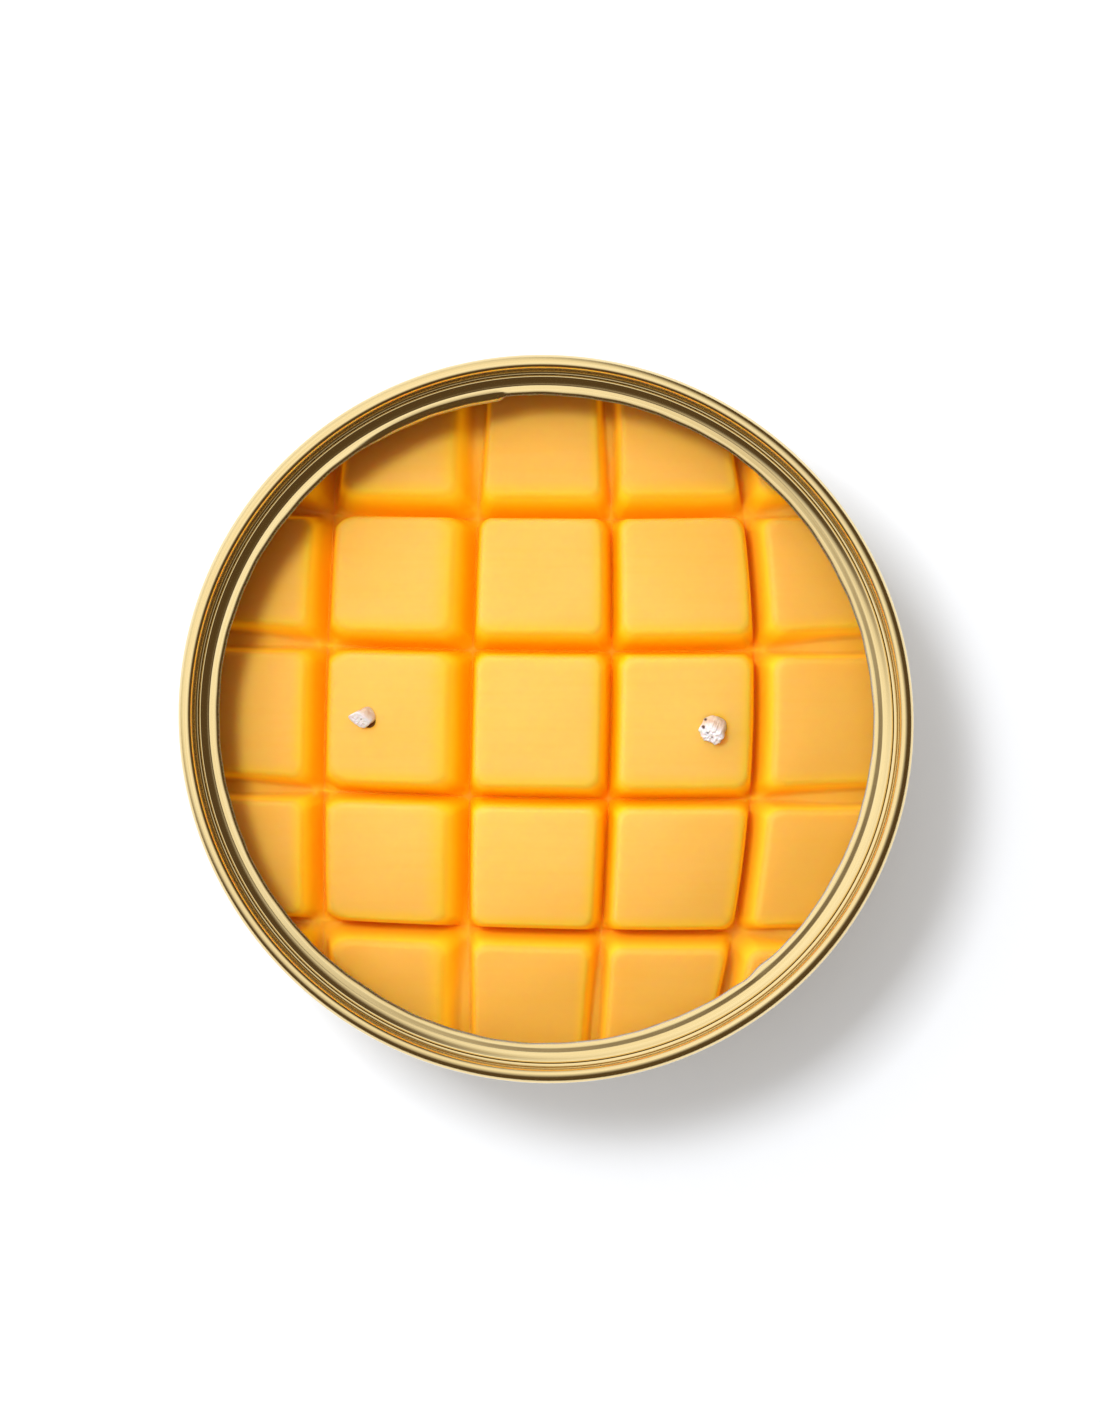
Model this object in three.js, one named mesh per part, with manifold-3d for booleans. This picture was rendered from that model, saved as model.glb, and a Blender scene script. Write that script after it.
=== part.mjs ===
// Candle tin: a double-seamed round can with a torn-out easy-open end, filled with domed,
// block-cut wax and two wicks. Millimetres, +Z up, origin at the centre of the base.
import * as THREE from 'three';
import { mergeVertices } from 'three/addons/utils/BufferGeometryUtils.js';
import Module from 'manifold-3d';

const wasm = await Module();
wasm.setup();

// ---- driving dimensions -------------------------------------------------------------------

// can
const canHeight = 41;
const bodyInnerRadius = 49.5;
const sheet = 0.3; // thickness of every tinplate layer
const layerGap = 0.1; // clearance between two layers of a seam
const roundSegments = 48;
const bendSteps = 2; // straight steps in each rounded bend of the sheet

// double seam, measured from its crest
const seamDepth = 3.0;
const bodyHookDepth = 2.35;
const endHookTop = 1.5;
const crestOuterBend = 0.65;
const crestInnerBend = 0.4;

const compound = { top: 0.88, bottom: 1.42, gap: 0.02 };

// easy-open ring, depths below the crest
const gutterOuter = { radius: 48.05, depth: 3.6 };
const gutterLow = { radius: 46.75, depth: 4.5 };
const lipBend = { radius: 46.2, depth: 4.1 };
const tornEdge = { radius: 45.7, depth: 3.85 };

// plain end at the base, heights above the crest
const countersink = { radius: 47.9, height: 4.6, bend: 0.6 };
const panelHeight = 2.7;
const panelBead = { inner: 36, outer: 41, rise: 0.6, slope: 1 };
const panelWall = { radius: 46.8 };

// wax
const waxGap = 0.15; // clearance between the wax and the tin
const domeApex = { x: 8.7, y: -8.5, z: 35.4 };
const domeRadius = 150;
const domeSteps = 8;
const grooveDepth = 7;
const columnCuts = [-50.6, -30.9, -10.4, 9.1, 29.2, 50.4];
const rowCuts = [-47.9, -29.7, -11.2, 9.5, 28.2, 47.4];
const columnTilt = 0.0285; // sideways drift of a column cut along its length
const columnBow = { level: -1.0e-4, slope: -5.4e-5, curve: -1.0e-6 }; // per millimetre, by the cut's place
const rowTilt = { level: -0.008, slope: 2.7e-4 };
const rowBow = 4.5e-4; // per millimetre
const blockDraft = 1.1; // how far each side leans in on its way up
const blockCorner = 2.4;
const blockEdge = 0.9; // rounding of a block's top edge
const blockRoot = 3; // how far a block runs on below the groove floor
const cutHalfWidth = 0.15;

// wicks
const wickRadius = 1.25;
const wickStub = 4.2; // height that stands out of the wax
const wicks = [
  { side: 'left', x: -24.5, y: 0, leanX: -2.3, leanY: -0.1 },
  { side: 'right', x: 23.4, y: -0.6, leanX: -0.2, leanY: -2.2 },
];
const tab = { radius: 7.5, neckRadius: 1.8, neckHeight: 4.2, boreRadius: 1.4 };
const sticker = { radius: 7.3, thickness: 0.7 };
const label = { radius: 33, thickness: 0.2 };
const stackGap = 0.1; // between the label, panel, sticker and tab
const castGap = 0.3; // between the wax and what is cast into it
const smallSegments = 24;
const wickSteps = 26;

// ---- derived sizes ------------------------------------------------------------------------

const layerPitch = sheet + layerGap;
const bodyMid = bodyInnerRadius + sheet / 2;
const chuckMid = bodyMid - layerPitch;
const endHookMid = bodyMid + layerPitch;
const bodyHookMid = endHookMid + layerPitch;
const seamWallMid = bodyHookMid + layerPitch;
const foldRadius = layerPitch;
const panelTop = panelHeight + sheet / 2;
const panelUnderside = panelHeight - sheet / 2;
const stickerBottom = panelTop + stackGap;
const tabBottom = stickerBottom + sticker.thickness + stackGap;
const tabTop = tabBottom + sheet;
const neckTop = tabBottom + tab.neckHeight;

// ---- helpers ------------------------------------------------------------------------------

const solids = new THREE.Group();

function addPiece(name, geometry, color, roughness, metalness) {
  const material = new THREE.MeshStandardMaterial({ color, roughness, metalness });
  const mesh = new THREE.Mesh(geometry, material);
  mesh.name = name;
  solids.add(mesh);
}

function toManifold(geometry) {
  const bare = geometry.clone();
  bare.deleteAttribute('normal');
  bare.deleteAttribute('uv');
  const merged = mergeVertices(bare, 1e-4);
  const vertProperties = new Float32Array(merged.attributes.position.array);
  const triVerts = new Uint32Array(merged.index.array);
  return new wasm.Manifold(new wasm.Mesh({ numProp: 3, vertProperties, triVerts }));
}

function toGeometry(solid) {
  const { vertProperties, triVerts } = solid.getMesh();
  const geometry = new THREE.BufferGeometry();
  geometry.setAttribute('position', new THREE.BufferAttribute(vertProperties, 3));
  geometry.setIndex(new THREE.BufferAttribute(triVerts, 1));
  geometry.computeVertexNormals();
  return geometry;
}

// Turns an outline of [radius, height] points about Z. The outline starts and ends on the axis,
// or is closed here, and is put the right way round so that its faces point out.
function turned(outline, segments = roundSegments) {
  const points = outline.map(([radius, height]) => new THREE.Vector2(radius, height));
  if (THREE.ShapeUtils.area(points) < 0) {
    points.reverse();
  }
  if (points[0].x !== 0) {
    points.push(points[0].clone());
  }
  return new THREE.LatheGeometry(points, segments).rotateX(Math.PI / 2);
}

function disc(radius, bottom, top) {
  return turned([[0, bottom], [radius, bottom], [radius, top], [0, top]], smallSegments * 2);
}

// Rounds the corners of a path given as [radius, height, bend] points; a bend of 0 stays sharp.
// Where one bend runs straight into the next, their shared point is kept once.
function bentPath(corners) {
  const path = [];
  const addPoint = (point) => {
    const last = path[path.length - 1];
    if (!last || last.distanceTo(point) > 1e-5) {
      path.push(point);
    }
  };
  corners.forEach(([radius, height, bend = 0], index) => {
    const corner = new THREE.Vector2(radius, height);
    if (!bend) {
      addPoint(corner);
      return;
    }
    const before = new THREE.Vector2(...corners[index - 1].slice(0, 2)).sub(corner).normalize();
    const after = new THREE.Vector2(...corners[index + 1].slice(0, 2)).sub(corner).normalize();
    const half = Math.acos(THREE.MathUtils.clamp(before.dot(after), -1, 1)) / 2;
    const reach = bend / Math.tan(half);
    const start = corner.clone().addScaledVector(before, reach);
    const end = corner.clone().addScaledVector(after, reach);
    const middle = before.clone().add(after).normalize().multiplyScalar(bend / Math.sin(half));
    const centre = corner.clone().add(middle);
    const from = Math.atan2(start.y - centre.y, start.x - centre.x);
    let sweep = Math.atan2(end.y - centre.y, end.x - centre.x) - from;
    sweep -= Math.round(sweep / (2 * Math.PI)) * 2 * Math.PI;
    for (let step = 0; step <= bendSteps; step += 1) {
      const angle = from + (sweep * step) / bendSteps;
      addPoint(new THREE.Vector2(Math.cos(angle), Math.sin(angle)).multiplyScalar(bend).add(centre));
    }
  });
  return path;
}

// Gives a path the thickness of the sheet: half of it to each side, mitred at the points.
function offsetPath(path, distance) {
  return path.map((point, index) => {
    const previous = path[Math.max(index - 1, 0)];
    const next = path[Math.min(index + 1, path.length - 1)];
    const into = point.clone().sub(previous).normalize();
    const out = next.clone().sub(point).normalize();
    const along = into.clone().add(out).normalize();
    const mitre = distance / Math.max(along.dot(index ? into : out), 0.5);
    const radius = point.x === 0 ? 0 : point.x - along.y * mitre;
    return [radius, point.y + along.x * mitre];
  });
}

function sheetOutline(path) {
  const left = offsetPath(path, sheet / 2);
  const right = offsetPath(path, -sheet / 2);
  return [...right, ...left.reverse()];
}

// Seams are given by their depth from the crest, which at the base is the height itself.
function atRim(corners) {
  return corners.map(([radius, depth, bend]) => [radius, canHeight - depth, bend]);
}

// ---- double seam --------------------------------------------------------------------------

// The end's half of a seam, from the chuck wall over the crest and down into the end hook.
const endSeam = [
  [chuckMid, sheet / 2, crestInnerBend],
  [seamWallMid, sheet / 2, crestOuterBend],
  [seamWallMid, seamDepth - sheet / 2, foldRadius],
  [endHookMid, seamDepth - sheet / 2, foldRadius],
  [endHookMid, endHookTop],
];

// The body's half: the hook that folds outwards and back over the end hook.
const bodySeam = [
  [bodyHookMid, bodyHookDepth],
  [bodyHookMid, sheet + layerGap + sheet / 2, foldRadius],
  [bodyMid, sheet + layerGap + sheet / 2, foldRadius],
];

function makeCanBody() {
  const path = bentPath([...atRim(bodySeam), ...[...bodySeam].reverse()]);
  addPiece('can_body', turned(sheetOutline(path)), 0xc9a45c, 0.32, 0.95);
}

function makeTopRing() {
  const ring = [
    [tornEdge.radius, tornEdge.depth],
    [lipBend.radius, lipBend.depth, 0.3],
    [gutterLow.radius, gutterLow.depth, 0.4],
    [gutterOuter.radius, gutterOuter.depth, 0.5],
  ];
  const path = bentPath(atRim([...ring, ...endSeam]));
  addPiece('top_ring', turned(sheetOutline(path)), 0xd8b56c, 0.28, 0.95);
}

function makeBottomEnd() {
  const bead = panelHeight + panelBead.rise;
  const panel = [
    [0, panelHeight],
    [panelBead.inner - panelBead.slope, panelHeight],
    [panelBead.inner, bead],
    [panelBead.outer, bead],
    [panelBead.outer + panelBead.slope, panelHeight],
    [panelWall.radius, panelHeight, 0.4],
    [countersink.radius - countersink.bend, countersink.height, countersink.bend],
    [countersink.radius + countersink.bend, countersink.height, countersink.bend],
  ];
  const path = bentPath([...panel, ...endSeam]);
  addPiece('bottom_end', turned(sheetOutline(path)), 0xc9a45c, 0.32, 0.95);
}

// The compound fills the room inside the body hook's fold, above the tip of the end hook.
function makeSeamCompound(name, place) {
  const inner = endHookMid - sheet / 2 - compound.gap;
  const outer = endHookMid + sheet / 2 + compound.gap;
  const section = [
    [inner, compound.bottom],
    [outer, compound.bottom],
    [outer, compound.top],
    [inner, compound.top],
  ];
  addPiece(name, turned(place(section)), 0x6f6a60, 0.8, 0);
}

// ---- wax ----------------------------------------------------------------------------------

// Carries a point of the flat cutting plan, with its height above the groove floor, onto the dome.
// Each cut runs a little askew and bows with the square of the distance along it, by amounts that change
// smoothly from cut to cut. The floor drops with the square of the distance from the apex, and a block
// leans outwards as if square to the dome.
function onDome(planX, planY, height) {
  const bow = columnBow.level + columnBow.slope * planX + columnBow.curve * planX * planX;
  const tilt = rowTilt.level + rowTilt.slope * planY;
  const x = planX + columnTilt * planY + bow * planY * planY;
  const y = planY + tilt * planX + rowBow * planX * planX;
  const fromApexX = x - domeApex.x;
  const fromApexY = y - domeApex.y;
  const sag = (fromApexX * fromApexX + fromApexY * fromApexY) / (2 * domeRadius);
  const lean = height / domeRadius;
  const z = domeApex.z - grooveDepth - sag + height;
  return new THREE.Vector3(x + fromApexX * lean, y + fromApexY * lean, z);
}

function roundedRectangle(halfX, halfY, corner) {
  const shape = new THREE.Shape();
  shape.moveTo(-halfX + corner, -halfY);
  shape.lineTo(halfX - corner, -halfY);
  shape.quadraticCurveTo(halfX, -halfY, halfX, -halfY + corner);
  shape.lineTo(halfX, halfY - corner);
  shape.quadraticCurveTo(halfX, halfY, halfX - corner, halfY);
  shape.lineTo(-halfX + corner, halfY);
  shape.quadraticCurveTo(-halfX, halfY, -halfX, halfY - corner);
  shape.lineTo(-halfX, -halfY + corner);
  shape.quadraticCurveTo(-halfX, -halfY, -halfX + corner, -halfY);
  return shape;
}

function waxBlock(column, row) {
  const halfX = (columnCuts[column + 1] - columnCuts[column]) / 2 - cutHalfWidth;
  const halfY = (rowCuts[row + 1] - rowCuts[row]) / 2 - cutHalfWidth;
  const centreX = (columnCuts[column + 1] + columnCuts[column]) / 2;
  const centreY = (rowCuts[row + 1] + rowCuts[row]) / 2;
  const depth = blockRoot + grooveDepth - 2 * blockEdge;
  const block = new THREE.ExtrudeGeometry(roundedRectangle(halfX, halfY, blockCorner), {
    depth,
    curveSegments: 2,
    bevelThickness: blockEdge,
    bevelSize: blockEdge,
    bevelOffset: -blockEdge,
    bevelSegments: 1,
  });
  const position = block.attributes.position;
  for (let index = 0; index < position.count; index += 1) {
    const height = position.getZ(index) + blockEdge - blockRoot;
    const drawnIn = (blockDraft * Math.max(height, 0)) / grooveDepth;
    const planX = centreX + position.getX(index) * (1 - drawnIn / halfX);
    const planY = centreY + position.getY(index) * (1 - drawnIn / halfY);
    const placed = onDome(planX, planY, height);
    position.setXYZ(index, placed.x, placed.y, placed.z);
  }
  return toManifold(block);
}

function waxCore() {
  const dome = [[0, 0]];
  const reach = bodyInnerRadius + Math.hypot(domeApex.x, domeApex.y) + blockRoot;
  dome.push([reach, 0]);
  for (let step = domeSteps; step >= 0; step -= 1) {
    const radius = (reach * step) / domeSteps;
    dome.push([radius, domeApex.z - grooveDepth - (radius * radius) / (2 * domeRadius)]);
  }
  return toManifold(turned(dome).translate(domeApex.x, domeApex.y, 0));
}

// The inside of the tin, following the beads and countersink of the plain end.
function waxMould() {
  const floor = panelTop + waxGap;
  const bead = floor + panelBead.rise;
  const ridge = countersink.height + sheet / 2 + waxGap;
  const wall = bodyInnerRadius - waxGap;
  const ridgeStart = panelWall.radius - sheet - waxGap;
  return toManifold(turned([
    [0, floor],
    [panelBead.inner - panelBead.slope - waxGap, floor],
    [panelBead.inner - waxGap, bead],
    [panelBead.outer + waxGap, bead],
    [panelBead.outer + panelBead.slope + waxGap, floor],
    [ridgeStart - castGap, floor],
    [ridgeStart, ridge],
    [wall, ridge],
    [wall, canHeight],
    [0, canHeight],
  ]));
}

// What a wick, its tab and its sticker leave free in the wax, open below and above.
function wickPassage(wick) {
  const hole = [
    [0, 0],
    [tab.radius + castGap, 0],
    [tab.radius + castGap, tabTop + castGap],
    [tab.neckRadius + castGap, tabTop + castGap],
    [tab.neckRadius + castGap, neckTop + castGap],
    [wickRadius + castGap, neckTop + castGap],
    [wickRadius + castGap, canHeight],
    [0, canHeight],
  ];
  return toManifold(turned(hole, smallSegments).translate(wick.x, wick.y, 0));
}

function makeWax() {
  let cast = waxCore();
  for (let column = 0; column < columnCuts.length - 1; column += 1) {
    for (let row = 0; row < rowCuts.length - 1; row += 1) {
      cast = cast.add(waxBlock(column, row));
    }
  }
  cast = cast.intersect(waxMould());
  for (const wick of wicks) {
    cast = cast.subtract(wickPassage(wick));
  }
  addPiece('wax_fill', toGeometry(cast), 0xf9bb50, 0.45, 0);
}

// ---- wicks, tabs, stickers, label ---------------------------------------------------------

function makeWick(wick) {
  const waxTop = onDome(wick.x, wick.y, grooveDepth).z;
  const leaning = (rise, share) => new THREE.Vector3(
    wick.x + wick.leanX * share,
    wick.y + wick.leanY * share,
    waxTop + wickStub * rise,
  );
  const route = new THREE.CatmullRomCurve3([
    new THREE.Vector3(wick.x, wick.y, tabBottom),
    new THREE.Vector3(wick.x, wick.y, waxTop / 2),
    leaning(-1, 0),
    leaning(0, 0),
    leaning(0.4, 0.15),
    leaning(0.75, 0.5),
    leaning(1, 1),
  ], false, 'centripetal');
  const section = new THREE.Shape().absarc(0, 0, wickRadius, 0, 2 * Math.PI);
  const geometry = new THREE.ExtrudeGeometry(section, {
    extrudePath: route,
    steps: wickSteps,
    curveSegments: 5,
    bevelEnabled: false,
  });
  addPiece(`wick_${wick.side}`, geometry, 0xe9ded6, 0.7, 0);
}

function makeWickTab(wick) {
  const outline = [
    [tab.boreRadius, tabBottom],
    [tab.radius, tabBottom],
    [tab.radius, tabTop],
    [tab.neckRadius, tabTop],
    [tab.neckRadius, neckTop],
    [tab.boreRadius, neckTop],
  ];
  const geometry = turned(outline, smallSegments).translate(wick.x, wick.y, 0);
  addPiece(`wick_tab_${wick.side}`, geometry, 0xb9bbbd, 0.35, 1);
}

function makeWickSticker(wick) {
  const top = stickerBottom + sticker.thickness;
  const geometry = disc(sticker.radius, stickerBottom, top).translate(wick.x, wick.y, 0);
  addPiece(`wick_sticker_${wick.side}`, geometry, 0xf2f0ea, 0.8, 0);
}

function makeBaseLabel() {
  const top = panelUnderside - stackGap;
  addPiece('base_label', disc(label.radius, top - label.thickness, top), 0xf4f0e6, 0.7, 0);
}

makeCanBody();
makeTopRing();
makeSeamCompound('top_seam_compound', atRim);
makeBottomEnd();
makeSeamCompound('bottom_seam_compound', (section) => section);
makeWax();
for (const wick of wicks) {
  makeWick(wick);
  makeWickTab(wick);
  makeWickSticker(wick);
}
makeBaseLabel();

export default solids;
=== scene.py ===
import math
import bpy
import numpy as np
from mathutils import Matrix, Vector


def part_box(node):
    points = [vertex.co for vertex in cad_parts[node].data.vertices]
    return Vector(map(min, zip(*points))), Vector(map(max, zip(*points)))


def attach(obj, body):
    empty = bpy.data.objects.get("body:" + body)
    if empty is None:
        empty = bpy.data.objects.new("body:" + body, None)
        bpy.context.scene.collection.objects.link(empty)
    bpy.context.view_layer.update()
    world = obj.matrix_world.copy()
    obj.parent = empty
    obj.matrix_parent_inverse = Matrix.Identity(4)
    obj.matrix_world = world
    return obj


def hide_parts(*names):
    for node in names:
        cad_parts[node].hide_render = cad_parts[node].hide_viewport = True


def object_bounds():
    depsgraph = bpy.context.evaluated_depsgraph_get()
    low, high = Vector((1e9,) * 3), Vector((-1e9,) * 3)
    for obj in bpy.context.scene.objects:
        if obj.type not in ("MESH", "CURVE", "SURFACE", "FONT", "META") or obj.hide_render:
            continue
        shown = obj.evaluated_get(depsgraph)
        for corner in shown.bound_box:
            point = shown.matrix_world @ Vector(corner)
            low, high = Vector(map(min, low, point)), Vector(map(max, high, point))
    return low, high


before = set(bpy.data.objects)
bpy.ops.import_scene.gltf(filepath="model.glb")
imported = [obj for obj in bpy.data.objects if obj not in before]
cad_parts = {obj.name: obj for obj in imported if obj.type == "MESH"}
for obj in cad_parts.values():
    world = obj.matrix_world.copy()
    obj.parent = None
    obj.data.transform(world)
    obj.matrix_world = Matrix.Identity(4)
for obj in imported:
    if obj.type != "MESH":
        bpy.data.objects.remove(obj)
cadLow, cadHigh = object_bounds()
mm = 0.001
print("frame loaded:", len(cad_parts), "nodes")

# The tin was squeezed a little when its lid came off: it is longer along one direction than across it
oval = dict(amount=0.0072, angle=math.radians(155))


def squeezed(points):
    # stretches x and y along the oval's long direction and shrinks them across it by the same share
    c, s = math.cos(oval["angle"]), math.sin(oval["angle"])
    along = (points[:, 0] * c + points[:, 1] * s) * (1 + oval["amount"])
    across = (points[:, 1] * c - points[:, 0] * s) * (1 - oval["amount"])
    moved = points.copy()
    moved[:, 0] = along * c - across * s
    moved[:, 1] = along * s + across * c
    return moved


def smoothStep(low, high, value):
    t = np.clip((value - low) / (high - low), 0, 1)
    return t * t * (3 - 2 * t)


# meshes from arrays

def addPiece(name, points, faces, node, finish, layers=None):
    # points in metres; faces are rows of corner numbers, quads first and then triangles
    mesh = bpy.data.meshes.new(name)
    sizes = np.concatenate([np.full(len(f), f.shape[1], np.int32) for f in faces])
    corners = np.concatenate([f.ravel() for f in faces]).astype(np.int32)
    starts = np.concatenate([[0], np.cumsum(sizes)[:-1]]).astype(np.int32)
    mesh.vertices.add(len(points))
    mesh.vertices.foreach_set("co", points.astype(np.float32).ravel())
    mesh.loops.add(len(corners))
    mesh.loops.foreach_set("vertex_index", corners)
    mesh.polygons.add(len(sizes))
    mesh.polygons.foreach_set("loop_start", starts)
    mesh.polygons.foreach_set("use_smooth", np.ones(len(sizes), bool))
    mesh.update(calc_edges=True)
    for layerName, values in (layers or {}).items():
        layer = mesh.attributes.new(layerName, "FLOAT", "POINT")
        layer.data.foreach_set("value", values.astype(np.float32).ravel())
    mesh.validate()
    piece = bpy.data.objects.new(name, mesh)
    bpy.context.scene.collection.objects.link(piece)
    mesh.materials.append(finish)
    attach(piece, "root")
    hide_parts(node)


def gridFaces(rows, columns, closeRows=False, closeColumns=True):
    # corner numbers of the quads of a grid numbered row by row, which may close on itself either way
    i = np.arange(rows if closeRows else rows - 1)[:, None]
    j = np.arange(columns if closeColumns else columns - 1)[None, :]
    nextI, nextJ = (i + 1) % rows, (j + 1) % columns
    quads = np.stack(np.broadcast_arrays(i * columns + j, i * columns + nextJ,
                                         nextI * columns + nextJ, nextI * columns + j), -1)
    return quads.reshape(-1, 4)


def turnedPiece(name, outline, segments, node, finish, centre=(0, 0), change=None):
    # Each outline point (radius, height) goes round the axis at equal angles. The outline runs with its
    # inside on the left; it closes on itself, or starts and ends on the axis, where fans close it.
    # Two layers in millimetres: "run" along the outline, and "fromAxis", the radius before any change.
    outline = np.asarray(outline, float)
    onAxis = outline[0, 0] == 0
    rings = outline[1:-1] if onAxis else outline
    angle = np.arange(segments) * 2 * np.pi / segments
    radius = np.repeat(rings[:, :1], segments, 1)
    height = np.repeat(rings[:, 1:], segments, 1)
    if change:
        radius, height = change(radius, height, angle[None, :])
    points = np.stack([radius * np.cos(angle), radius * np.sin(angle), height], -1).reshape(-1, 3)
    run = np.repeat(np.concatenate([[0], np.cumsum(np.hypot(*np.diff(rings, axis=0).T))]), segments)
    fromAxis = np.repeat(rings[:, 0], segments)
    faces = [gridFaces(len(rings), segments, closeRows=not onAxis)]
    if onAxis:
        low, high = len(points), len(points) + 1
        points = np.vstack([points, [[0, 0, outline[0, 1]], [0, 0, outline[-1, 1]]]])
        run = np.append(run, [run[0], run[-1]])
        fromAxis = np.append(fromAxis, [0, 0])
        j = np.arange(segments)
        following = (j + 1) % segments
        last = (len(rings) - 1) * segments
        faces.append(np.stack([following, j, np.full(segments, low)], -1))
        faces.append(np.stack([last + j, last + following, np.full(segments, high)], -1))
    points[:, 0] += centre[0]
    points[:, 1] += centre[1]
    addPiece(name, squeezed(points) * mm, faces, node, finish, {"run": run, "fromAxis": fromAxis})


# folded sheet, in millimetres

def bentPath(corners, steps=7):
    # a line through (radius, height, bend) corners, each rounded with an arc of that bend radius
    path = []
    for k, corner in enumerate(corners):
        point = np.array(corner[:2], float)
        bend = corner[2] if len(corner) > 2 else 0
        if not bend:
            path.append(point[None])
            continue
        before = np.array(corners[k - 1][:2]) - point
        after = np.array(corners[k + 1][:2]) - point
        before /= np.linalg.norm(before)
        after /= np.linalg.norm(after)
        half = math.acos(np.clip(before @ after, -1, 1)) / 2
        middle = (before + after) / np.linalg.norm(before + after)
        centre = point + middle * bend / math.sin(half)
        start = point + before * bend / math.tan(half) - centre
        end = point + after * bend / math.tan(half) - centre
        sweep = math.atan2(start[0] * end[1] - start[1] * end[0], start @ end)
        turn = math.atan2(start[1], start[0]) + sweep * np.linspace(0, 1, steps + 1)
        path.append(centre + bend * np.stack([np.cos(turn), np.sin(turn)], -1))
    path = np.concatenate(path)
    keep = np.concatenate([[True], np.linalg.norm(np.diff(path, axis=0), axis=1) > 1e-5])
    return path[keep]


def sheetOutline(path, thickness):
    # the path moved by half the thickness to each side, square to the mean of the two steps at each
    # point; a sharp corner reaches no further than twice that
    steps = np.diff(path, axis=0)
    steps /= np.linalg.norm(steps, axis=1)[:, None]
    into = np.vstack([steps[:1], steps])
    out = np.vstack([steps, steps[-1:]])
    along = (into + out) / np.linalg.norm(into + out, axis=1)[:, None]
    reach = thickness / 2 / np.maximum((along * out).sum(1), 0.5)
    side = np.stack([-along[:, 1] * reach, along[:, 0] * reach], -1)
    side[path[:, 0] == 0, 0] = 0
    outline = np.vstack([path - side, (path + side)[::-1]])
    nextPoint = np.roll(outline, -1, 0)
    area = (outline[:, 0] * nextPoint[:, 1] - nextPoint[:, 0] * outline[:, 1]).sum()
    return outline if area > 0 else outline[::-1]


# materials

class Wire:
    # a value on its way through a material: arithmetic on it adds Math nodes
    def __init__(self, tree, socket):
        self.tree, self.socket = tree, socket

    def plug(self, target, value):
        if isinstance(value, Wire):
            self.tree.links.new(value.socket, target)
        else:
            target.default_value = value

    def math(self, operation, first, second=None):
        node = self.tree.nodes.new("ShaderNodeMath")
        node.operation = operation
        self.plug(node.inputs[0], first)
        if second is not None:
            self.plug(node.inputs[1], second)
        return Wire(self.tree, node.outputs[0])

    def __add__(self, other):
        return self.math("ADD", self, other)

    def __sub__(self, other):
        return self.math("SUBTRACT", self, other)

    def __rsub__(self, other):
        return self.math("SUBTRACT", other, self)

    def __mul__(self, other):
        return self.math("MULTIPLY", self, other)

    def __truediv__(self, other):
        return self.math("DIVIDE", self, other)

    def __pow__(self, other):
        return self.math("POWER", self, other)

    __radd__ = __add__
    __rmul__ = __mul__

    def between(self, low, high):
        # 0 below low, 1 above high, smooth in between
        node = self.tree.nodes.new("ShaderNodeMapRange")
        node.interpolation_type = "SMOOTHSTEP"
        self.plug(node.inputs["Value"], self)
        node.inputs["From Min"].default_value = low
        node.inputs["From Max"].default_value = high
        return Wire(self.tree, node.outputs["Result"])


class Finish:
    # a material being made; constants go to the shader's own sockets by name
    def __init__(self, name, **constants):
        self.material = bpy.data.materials.new(name)
        self.material.use_nodes = True
        self.tree = self.material.node_tree
        self.shader = self.tree.nodes["Principled BSDF"]
        for socketName, value in constants.items():
            self.shader.inputs[socketName.replace("_", " ")].default_value = value

    def node(self, kind, settings=None, output=0, **sockets):
        made = self.tree.nodes.new("ShaderNode" + kind)
        for setting, value in (settings or {}).items():
            if setting == "stops":
                ramp = made.color_ramp
                while len(ramp.elements) < len(value):
                    ramp.elements.new(0.5)
                for element, (place, colour) in zip(ramp.elements, value):
                    element.position = place
                    element.color = (*colour, 1)
            else:
                setattr(made, setting, value)
        for socketName, value in sockets.items():
            target = made.inputs[socketName.replace("_", " ")]
            if isinstance(value, Wire):
                self.tree.links.new(value.socket, target)
            else:
                target.default_value = value
        return Wire(self.tree, made.outputs[output])

    def feed(self, **sockets):
        for socketName, wire in sockets.items():
            self.tree.links.new(wire.socket, self.shader.inputs[socketName.replace("_", " ")])

    def place(self):
        return self.node("TexCoord", output="Object")

    def layer(self, name):
        return self.node("Attribute", {"attribute_name": name}, output="Fac")

    def split(self, vector):
        parts = self.tree.nodes.new("ShaderNodeSeparateXYZ")
        self.tree.links.new(vector.socket, parts.inputs[0])
        return [Wire(self.tree, parts.outputs[k]) for k in range(3)]

    def vector(self, x, y, z):
        return self.node("CombineXYZ", X=x, Y=y, Z=z)

    def noise(self, vector, scale, detail=2.0, roughness=0.5):
        return self.node("TexNoise", Vector=vector, Scale=scale, Detail=detail, Roughness=roughness)

    def mix(self, factor, first, second):
        made = self.tree.nodes.new("ShaderNodeMix")
        made.data_type = "RGBA"
        for target, value in zip((made.inputs[0], made.inputs[6], made.inputs[7]), (factor, first, second)):
            if isinstance(value, Wire):
                self.tree.links.new(value.socket, target)
            else:
                target.default_value = value if isinstance(value, (int, float)) else (*value, 1)
        return Wire(self.tree, made.outputs[2])

    def bump(self, height, distance, strength=1.0):
        return self.node("Bump", Height=height, Distance=distance, Strength=strength)

    def aroundAxis(self):
        # the direction from the tin's axis, as x and y of a unit circle
        x, y, z = self.split(self.place())
        radius = (x * x + y * y) ** 0.5 + 1e-6
        return x / radius, y / radius


# gold lacquer on rolled tinplate
goldLook = dict(
    light=(0.88, 0.70, 0.35), deep=(0.76, 0.53, 0.20), bright=0.13, dull=0.21,
    steel=(0.80, 0.74, 0.70), bareUpTo=45.6, bareWidth=0.16, bareRougher=0.22,
)


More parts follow.
